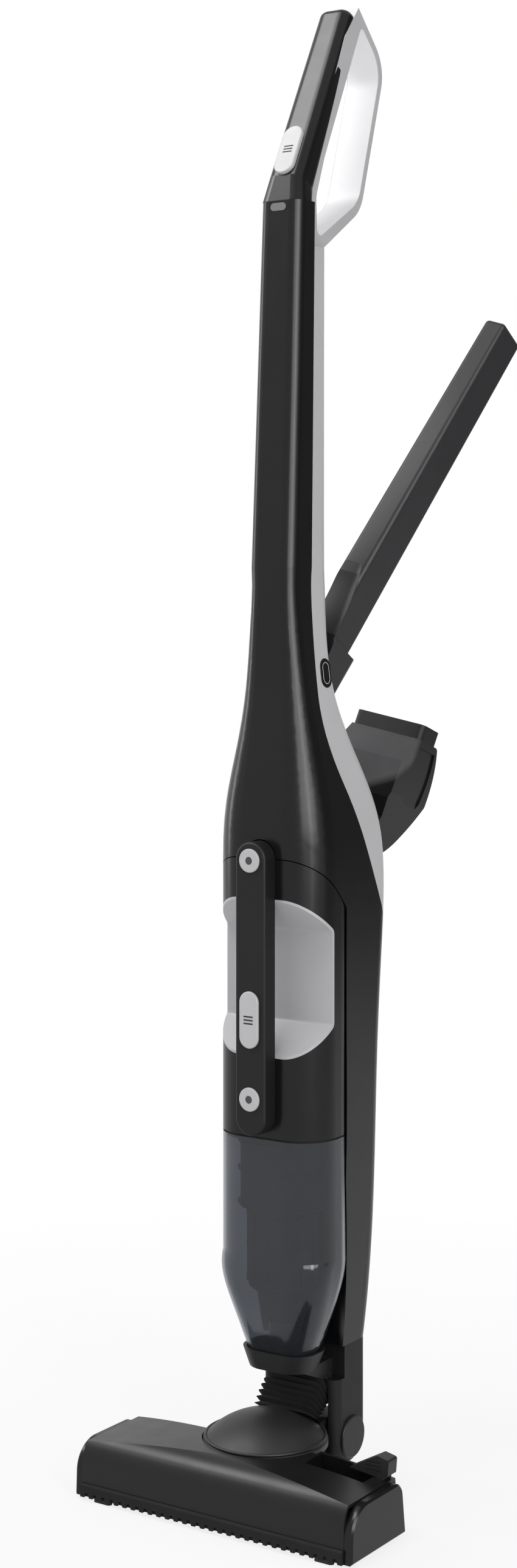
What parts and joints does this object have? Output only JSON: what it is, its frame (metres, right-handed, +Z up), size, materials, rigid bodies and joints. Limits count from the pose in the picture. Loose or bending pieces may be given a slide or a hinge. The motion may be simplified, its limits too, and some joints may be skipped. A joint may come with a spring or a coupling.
{
  "type": "cordless stick vacuum",
  "caption": "Upright cordless stick vacuum with a docked handheld unit, powered floor nozzle, open loop handle and two swing-out cleaning tools on the back.",
  "frame": {"origin": "on the floor under the swivel axis of the neck, at the centre of the middle floor glide", "axes": "+Z up, -Y to the front where the brush roller is, +X to the right seen from the front"},
  "size_m": [0.25, 0.3085, 1.156],
  "materials": {
    "black_gloss": "polished black",
    "black_matte": "fine matt black",
    "dark_grey": "dark grey satin",
    "rubber": "soft black",
    "felt": "felt",
    "steel": "plain steel",
    "bristle": "nylon tufts",
    "light_grey": "light grey silk",
    "brass": "plain brass",
    "lens": "clear grey",
    "switch_grey": "light grey satin",
    "liner_grey": "light grey satin",
    "white_plastic": "white",
    "smoke": "smoky clear",
    "filter_dark": "dark mesh",
    "filter_paper": "pleated paper",
    "tool_grey": "dark grey satin"
  },
  "bodies": {
    "nozzle": {"nozzle_cover": "black_gloss", "nozzle_base": "black_matte", "nozzle_end_cap_left": "black_gloss", "nozzle_end_cap_right": "black_gloss", "brush_bearing_left": "black_matte", "brush_bearing_right": "black_matte", "nozzle_bumper": "rubber", "floor_glides": "felt", "brush_motor": "steel", "drive_belt": "rubber"},
    "brush": {"brush_roller": "black_matte", "brush_bristles": "bristle"},
    "motor_shaft": {"motor_pulley": "black_matte"},
    "roller_release": {"brush_release_lever": "dark_grey"},
    "neck": {"swivel_yoke": "black_matte", "swivel_dome": "dark_grey", "castor_axle": "steel", "suction_hose": "rubber"},
    "castor": {"castor_roller": "rubber"},
    "stick": {"foot": "black_matte", "hinge_pin": "steel", "hinge_cover_left": "dark_grey", "hinge_cover_right": "dark_grey", "nose_seat": "dark_grey", "nose_seal": "rubber", "front_shell": "black_gloss", "rear_shell": "light_grey", "back_cover": "black_gloss", "dock_contacts": "brass", "charging_socket": "black_matte", "indicator_lens": "lens", "handle_grip": "black_gloss", "handle_loop": "light_grey", "crevice_bracket": "black_matte", "upholstery_bracket": "black_matte"},
    "stick_switch": {"handle_switch": "switch_grey"},
    "handheld": {"handheld_housing": "black_gloss", "grip_liner": "liner_grey", "grip_strip": "black_matte", "battery_cells": "steel", "fan_motor": "steel", "exhaust_grille": "black_matte", "charge_contacts": "brass", "dust_container": "smoke", "container_seal": "rubber", "mesh_filter": "filter_dark", "pleated_filter": "filter_paper"},
    "release": {"release_button": "switch_grey"},
    "bin_release": {"bin_button": "switch_grey"},
    "handheld_switch": {"hand_switch": "switch_grey"},
    "impeller": {"fan": "white_plastic"},
    "flap": {"inlet_flap": "rubber"},
    "crevice": {"crevice_tool": "tool_grey"},
    "upholstery": {"upholstery_nozzle": "tool_grey", "upholstery_mouth": "black_matte"}
  },
  "joints": [
    {"name": "brush_spin", "type": "hinge", "parent": "nozzle", "child": "brush", "pos_m": [0, -0.051, 0.0182], "axis": [1, 0, 0], "continuous": true},
    {"name": "motor_spin", "type": "hinge", "parent": "nozzle", "child": "motor_shaft", "pos_m": [-0.103, -0.016, 0.025], "axis": [1, 0, 0], "continuous": true},
    {"name": "roller_release_turn", "type": "hinge", "parent": "nozzle", "child": "roller_release", "pos_m": [0.111, -0.0088, 0.0433], "axis": [0, 1, 0], "range_deg": [0, 20]},
    {"name": "swivel", "type": "hinge", "parent": "nozzle", "child": "neck", "pos_m": [0, 0, 0.03], "axis": [0, 0, 1], "range_deg": [-30, 30]},
    {"name": "castor_spin", "type": "hinge", "parent": "neck", "child": "castor", "pos_m": [0, 0.062, 0.012], "axis": [1, 0, 0], "continuous": true},
    {"name": "recline", "type": "hinge", "parent": "neck", "child": "stick", "pos_m": [0, 0.068, 0.036], "axis": [-1, 0, 0], "range_deg": [0, 75], "deforming": ["suction_hose"]},
    {"name": "stick_switch_slide", "type": "slide", "parent": "stick", "child": "stick_switch", "axis": [0, 0.4478, 0.8942], "range_m": [-0.004, 0.004]},
    {"name": "handheld_tilt", "type": "hinge", "parent": "stick", "child": "handheld", "pos_m": [0, 0.006, 0.128], "axis": [1, 0, 0], "range_deg": [0, 25]},
    {"name": "release_press", "type": "slide", "parent": "handheld", "child": "release", "axis": [0, 1, 0], "range_m": [0, 0.002], "stiffness_N_per_m": 600, "springref_m": -0.001},
    {"name": "bin_press", "type": "slide", "parent": "handheld", "child": "bin_release", "axis": [0, 1, 0], "range_m": [0, 0.002], "stiffness_N_per_m": 600, "springref_m": -0.001},
    {"name": "handheld_switch_slide", "type": "slide", "parent": "handheld", "child": "handheld_switch", "axis": [0, 0, 1], "range_m": [-0.004, 0.004]},
    {"name": "fan_spin", "type": "hinge", "parent": "handheld", "child": "impeller", "pos_m": [0, 0.024, 0.29], "axis": [0, 0, 1], "continuous": true},
    {"name": "flap_lift", "type": "hinge", "parent": "handheld", "child": "flap", "pos_m": [0, 0.0365, 0.1331], "axis": [-1, 0, 0], "range_deg": [0, 45]},
    {"name": "crevice_swing", "type": "hinge", "parent": "stick", "child": "crevice", "pos_m": [0, 0.0725, 0.633], "axis": [0.866, -0.5, 0], "range_deg": [0, 24]},
    {"name": "upholstery_swing", "type": "hinge", "parent": "stick", "child": "upholstery", "pos_m": [0, 0.106, 0.478], "axis": [0.866, -0.5, 0], "range_deg": [0, 20]}
  ],
  "couplings": [
    {"joint": "motor_spin", "follows": "brush_spin", "ratio": 1.8}
  ]
}
